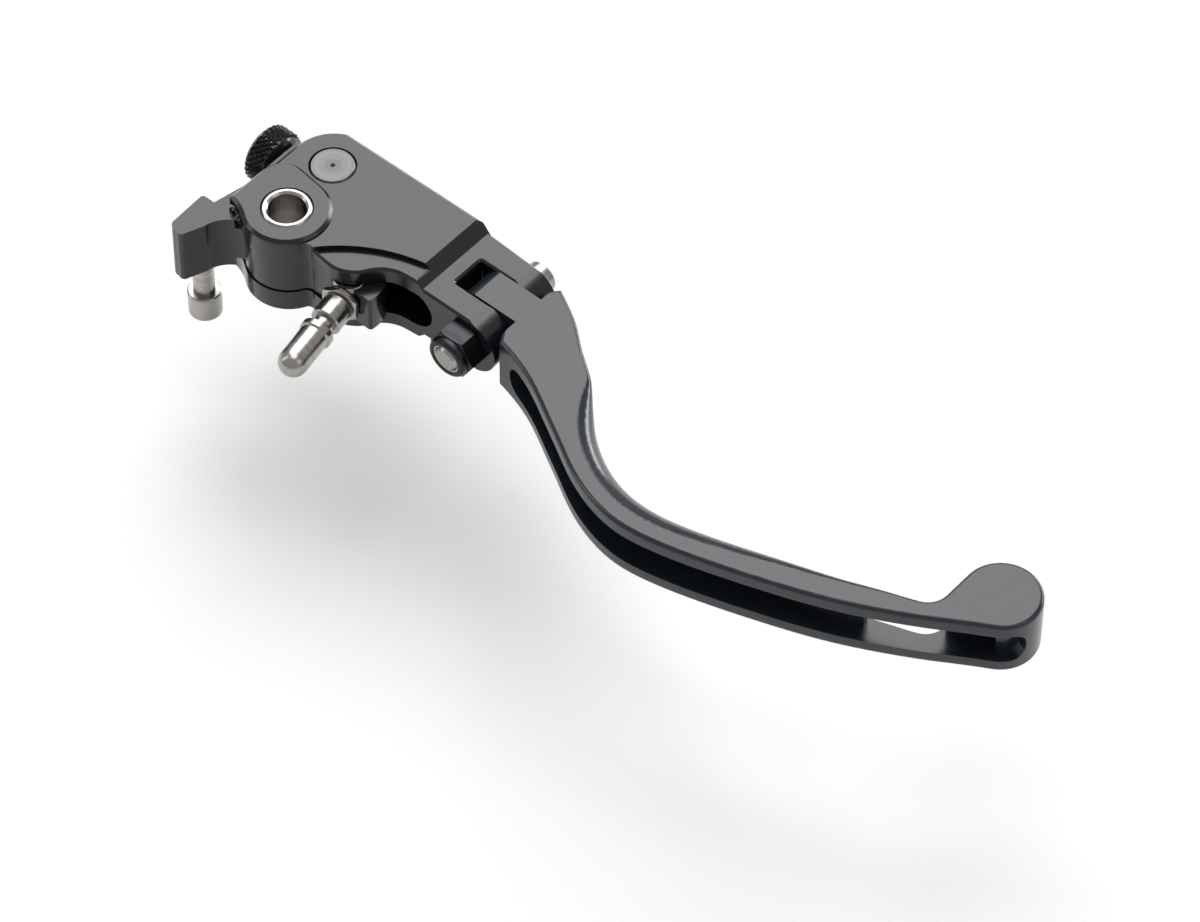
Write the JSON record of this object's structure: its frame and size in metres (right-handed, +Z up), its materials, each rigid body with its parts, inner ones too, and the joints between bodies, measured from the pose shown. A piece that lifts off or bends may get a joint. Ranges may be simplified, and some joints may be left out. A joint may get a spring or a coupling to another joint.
{
  "type": "adjustable folding clutch lever",
  "caption": "Machined clutch lever with pivot bush, inner arm, reach adjuster, folding grooved blade, ball end and swivelling pushrod.",
  "frame": {"origin": "middle of the pivot bore", "axes": "+X along the lever from the pivot to the ball end, +Y away from the handgrip, +Z up the pivot axis"},
  "size_m": [0.2007, 0.0543, 0.0335],
  "materials": {
    "anodised_body": "black anodised, fine bead-blasted",
    "anodised_blade": "black anodised, fine bead-blasted",
    "anodised_arm": "black anodised, fine bead-blasted",
    "turned_steel": "turned stainless steel",
    "dark_steel": "dark steel",
    "spring_steel": "drawn spring wire",
    "black_oxide": "black oxide",
    "gloss_black": "gloss black anodised, knurled rim",
    "bronze": "oil-filled bronze",
    "nylon": "nylon"
  },
  "bodies": {
    "pivot": {"pivot_bush": "turned_steel"},
    "arm": {"actuator_arm": "anodised_arm", "switch_pin": "turned_steel", "switch_pin_sleeve": "turned_steel", "thrust_washer": "turned_steel"},
    "knob": {"adjuster_knob": "gloss_black", "adjuster_screw": "dark_steel", "knob_pin": "dark_steel", "screw_clip": "dark_steel"},
    "lever": {"lever_body": "anodised_body", "preload_spring": "spring_steel", "fold_bolt": "turned_steel", "fold_nut": "black_oxide", "fold_nut_insert": "nylon"},
    "trunnion": {"adjuster_trunnion": "dark_steel"},
    "blade": {"lever_blade": "anodised_blade", "fold_bush": "bronze", "fold_spring": "spring_steel"},
    "rod": {"pushrod_barrel": "turned_steel", "pushrod": "turned_steel", "pushrod_nut": "turned_steel"}
  },
  "joints": [
    {"name": "squeeze", "type": "hinge", "parent": "pivot", "child": "arm", "pos_m": [0, 0, 0], "axis": [0, 0, 1], "range_deg": [-22, 0]},
    {"name": "reach", "type": "hinge", "parent": "arm", "child": "lever", "pos_m": [0, 0, 0], "axis": [0, 0, 1], "range_deg": [-6, 0]},
    {"name": "trunnion_swivel", "type": "hinge", "parent": "lever", "child": "trunnion", "pos_m": [-0.00138, 0.01534, 0], "axis": [0, 0, 1], "range_deg": [-1, 7]},
    {"name": "knob_spin", "type": "hinge", "parent": "arm", "child": "knob", "pos_m": [-0.0188, 0.01534, 0], "axis": [1, 0, 0], "range_deg": [-725, 1]},
    {"name": "blade_fold", "type": "hinge", "parent": "lever", "child": "blade", "pos_m": [0.0452, 0.014, 0], "axis": [0, -1, 0], "range_deg": [0, 85], "stiffness_Nm_per_rad": 0.15, "springref_deg": -28.65},
    {"name": "rod_swivel", "type": "hinge", "parent": "arm", "child": "rod", "pos_m": [0.0184, -0.0014, 0], "axis": [0, 0, 1], "range_deg": [-20, 0]}
  ],
  "couplings": [
    {"joint": "trunnion_swivel", "follows": "reach", "ratio": -1},
    {"joint": "knob_spin", "follows": "reach", "ratio": 120.48}
  ]
}
